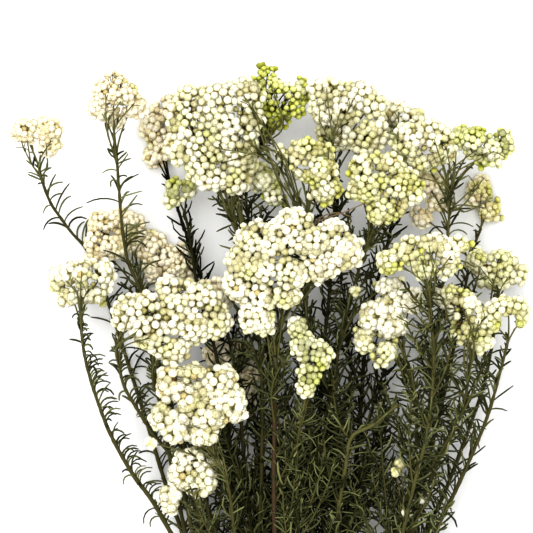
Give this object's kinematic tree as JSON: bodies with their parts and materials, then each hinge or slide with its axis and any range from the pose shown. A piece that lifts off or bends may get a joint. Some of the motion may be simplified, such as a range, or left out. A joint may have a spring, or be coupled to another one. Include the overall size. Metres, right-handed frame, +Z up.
{
  "type": "preserved rice flower stem",
  "caption": "Branched dried flower stem with needle leaves and flat-topped heads of small round cream buds, lying on a surface.",
  "frame": {"origin": "under the middle of the whole stem, on the surface that it lies on", "axes": "+Y from the cut woody end towards the flower heads, +X across the fan of branches, to the right seen from above with the heads away from the viewer, +Z up"},
  "size_m": [0.2872, 0.4812, 0.1058],
  "materials": {
    "blossom": "matte",
    "blossom_dull": "matte",
    "blossom_green": "matte",
    "foliage": "satin",
    "wood": "matte"
  },
  "bodies": {
    "root": {"main_stem": "wood", "flower_head_01": "blossom_dull", "flower_head_02": "blossom_dull", "flower_head_03": "blossom_dull", "flower_head_04": "blossom", "flower_head_05": "blossom_green", "flower_head_06": "blossom", "flower_head_07": "blossom", "flower_head_08": "blossom", "flower_head_09": "blossom_green", "flower_head_10": "blossom", "flower_head_11": "blossom", "flower_head_12": "blossom_green", "flower_head_13": "blossom_green", "flower_head_14": "blossom_dull", "flower_head_15": "blossom_dull", "flower_head_16": "blossom", "flower_head_17": "blossom", "flower_head_18": "blossom_dull", "flower_head_19": "blossom", "flower_head_20": "blossom_green", "flower_head_21": "blossom_dull", "flower_head_22": "blossom", "flower_head_23": "blossom", "flower_head_24": "blossom", "flower_head_25": "blossom", "flower_head_26": "blossom", "flower_head_27": "blossom", "flower_head_28": "blossom_dull", "flower_head_29": "blossom_dull", "flower_head_30": "blossom", "leafy_stem_01": "foliage", "leafy_stem_02": "foliage", "leafy_stem_03": "foliage", "leafy_stem_04": "foliage", "leafy_stem_05": "foliage", "leafy_stem_06": "foliage", "leafy_stem_07": "foliage", "leafy_stem_08": "foliage", "leafy_stem_09": "foliage", "leafy_stem_10": "foliage", "leafy_stem_11": "foliage", "leafy_stem_12": "foliage", "leafy_stem_13": "foliage", "leafy_stem_14": "foliage", "leafy_stem_15": "foliage", "leafy_stem_16": "foliage", "leafy_stem_17": "foliage", "leafy_stem_18": "foliage", "leafy_stem_19": "foliage", "leafy_stem_20": "foliage", "leafy_stem_21": "foliage", "leafy_stem_22": "foliage", "leafy_stem_23": "foliage", "leafy_stem_24": "foliage", "leafy_stem_25": "foliage", "leafy_stem_26": "foliage", "leafy_stem_27": "foliage", "leafy_stem_28": "foliage"}
  },
  "joints": []
}
